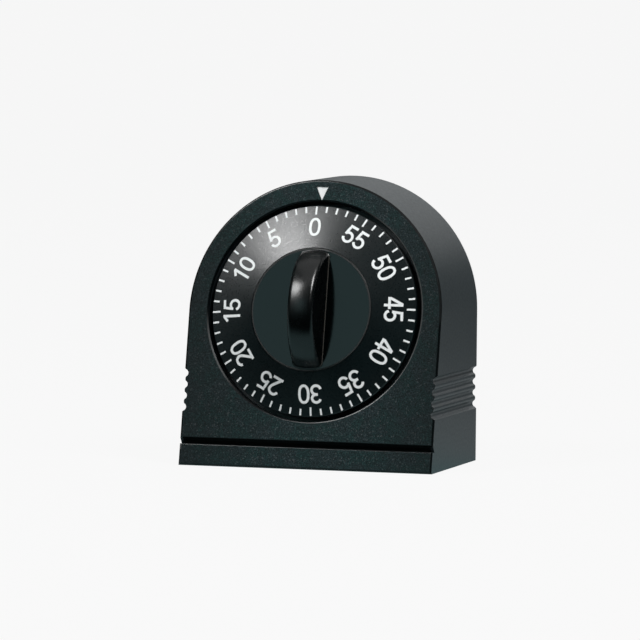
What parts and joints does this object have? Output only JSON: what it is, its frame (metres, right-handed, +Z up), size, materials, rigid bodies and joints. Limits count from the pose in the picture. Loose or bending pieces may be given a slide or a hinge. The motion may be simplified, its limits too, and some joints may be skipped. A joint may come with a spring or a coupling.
{
  "type": "wind-up kitchen timer",
  "caption": "Free-standing wind-up kitchen timer: arched black case, turning numeral dial with a half-moon winding knob, clockwork with a bell inside, rear cover with sound slots.",
  "frame": {"origin": "centre of the flat base's underside", "axes": "+X to the right seen from the front, +Y to the back, +Z up"},
  "size_m": [0.07, 0.0498, 0.076],
  "materials": {
    "case_plastic": "fine grained black moulding",
    "dial_plastic": "semi-gloss black with white print",
    "knob_plastic": "gloss black",
    "pointer_plastic": "white",
    "steel": "plain steel",
    "brass": "stamped brass",
    "bell_steel": "plated"
  },
  "bodies": {
    "case": {"front_housing": "case_plastic", "zero_pointer": "pointer_plastic", "rear_cover": "case_plastic", "cover_screws": "steel", "mainspring": "steel", "spring_post": "steel", "hammer_spring": "steel", "lever_stud": "steel", "front_plate": "brass", "back_plate": "brass", "plate_pillars": "steel", "movement_screws": "steel", "bell": "bell_steel", "bell_post": "steel", "bell_nut": "steel"},
    "dial": {"numeral_dial": "dial_plastic", "winding_knob": "knob_plastic", "main_arbor": "steel", "zero_cam": "steel", "main_wheel": "brass", "clutch_washer": "steel"},
    "second": {"second_arbor": "steel", "second_wheel": "brass", "strike_wheel": "steel"},
    "third": {"third_arbor": "steel", "third_wheel": "brass"},
    "escape": {"escape_arbor": "steel", "escape_wheel": "brass"},
    "pallet": {"pallet_arbor": "steel", "pallet_lever": "steel", "balance_bar": "brass"},
    "hammer": {"hammer_arbor": "steel", "hammer_tail": "steel", "hammer_finger": "steel", "hammer_arm": "steel", "hammer_head": "steel"},
    "release": {"release_lever": "steel"}
  },
  "joints": [
    {"name": "dial_turn", "type": "hinge", "parent": "case", "child": "dial", "pos_m": [0, -0.01368, 0.0415], "axis": [0, 0.9803, -0.1977], "range_deg": [0, 354], "stiffness_Nm_per_rad": 0.004, "springref_deg": -89.95},
    {"name": "second_turn", "type": "hinge", "parent": "case", "child": "second", "pos_m": [-0.00858, -0.01701, 0.02499], "axis": [0, 0.9803, -0.1977], "continuous": true},
    {"name": "third_turn", "type": "hinge", "parent": "case", "child": "third", "pos_m": [0.00326, -0.01786, 0.02077], "axis": [0, 0.9803, -0.1977], "continuous": true},
    {"name": "escape_turn", "type": "hinge", "parent": "case", "child": "escape", "pos_m": [0.01272, -0.01655, 0.02726], "axis": [0, 0.9803, -0.1977], "continuous": true},
    {"name": "pallet_rock", "type": "hinge", "parent": "case", "child": "pallet", "pos_m": [0.01929, -0.01526, 0.0337], "axis": [0, 0.9803, -0.1977], "range_deg": [-6, 6]},
    {"name": "hammer_swing", "type": "hinge", "parent": "case", "child": "hammer", "pos_m": [-0.0205, -0.01576, 0.03121], "axis": [0, 0.9803, -0.1977], "range_deg": [-8, 2], "stiffness_Nm_per_rad": 0.0002},
    {"name": "release_drop", "type": "hinge", "parent": "case", "child": "release", "pos_m": [-0.0065, -0.01151, 0.05228], "axis": [0, 0.9803, -0.1977], "range_deg": [-7.8, 0]}
  ],
  "couplings": [
    {"joint": "second_turn", "follows": "dial_turn", "ratio": -8},
    {"joint": "third_turn", "follows": "dial_turn", "ratio": 48},
    {"joint": "escape_turn", "follows": "dial_turn", "ratio": -288}
  ]
}
